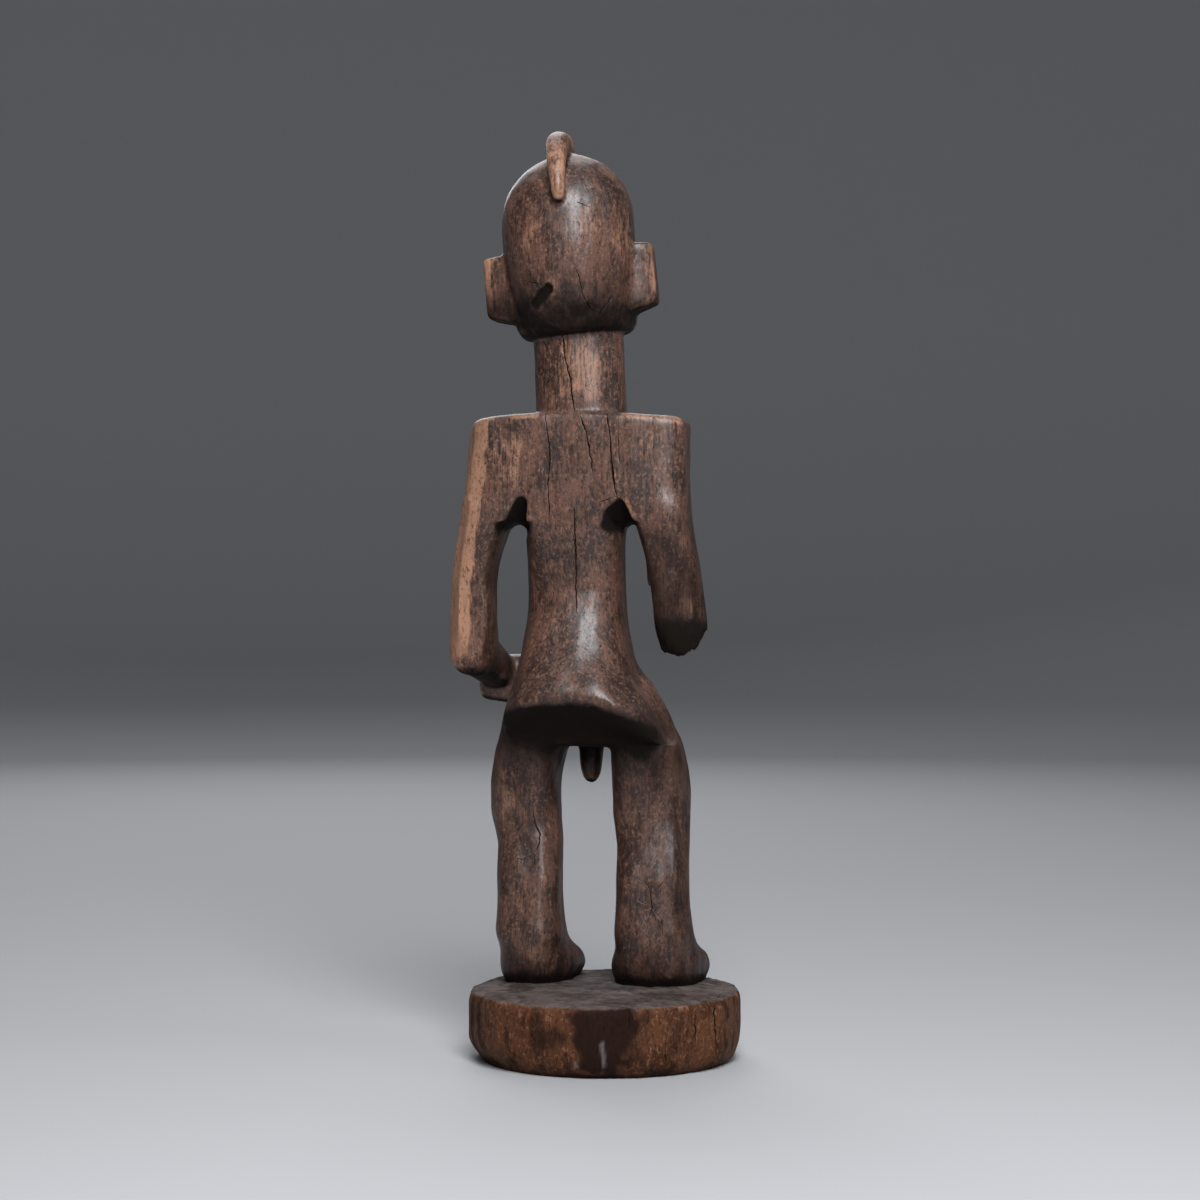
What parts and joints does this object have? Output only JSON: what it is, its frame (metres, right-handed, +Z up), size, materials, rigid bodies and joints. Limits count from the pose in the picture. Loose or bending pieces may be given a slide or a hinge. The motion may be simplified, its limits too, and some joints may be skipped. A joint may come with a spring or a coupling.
{
  "type": "carved ancestor figure",
  "caption": "Standing male ancestor figure carved from dark wood, with a comb crest, slab ears, flared hips, a broken right arm and a round plinth",
  "frame": {"origin": "centre of the round plinth's foot, on the ground", "axes": "+Z up along the trunk of the tree, the figure faces -Y, its left side is +X"},
  "size_m": [0.1445, 0.133, 0.4525],
  "materials": {
    "patinated_wood": "dark hand-rubbed patina, half gloss on the proud faces, fine drying cracks along the grain",
    "rubbed_wood": "patina worn through to brown wood by handling",
    "plinth_wood": "dry adzed wood with dust on top and dark stains down the sides"
  },
  "bodies": {
    "root": {"plinth": "plinth_wood", "left_foot": "patinated_wood", "right_foot": "patinated_wood", "left_calf": "patinated_wood", "right_calf": "patinated_wood", "left_thigh": "patinated_wood", "right_thigh": "patinated_wood", "hips": "patinated_wood", "loin_peg": "patinated_wood", "torso": "patinated_wood", "navel": "rubbed_wood", "shoulders": "patinated_wood", "left_upper_arm": "rubbed_wood", "left_forearm": "patinated_wood", "left_hand": "patinated_wood", "right_upper_arm": "rubbed_wood", "neck": "patinated_wood", "head": "patinated_wood", "crest": "rubbed_wood", "left_ear": "rubbed_wood", "right_ear": "rubbed_wood", "brow_and_nose": "patinated_wood", "left_eye": "patinated_wood", "right_eye": "patinated_wood", "mouth": "patinated_wood"}
  },
  "joints": []
}
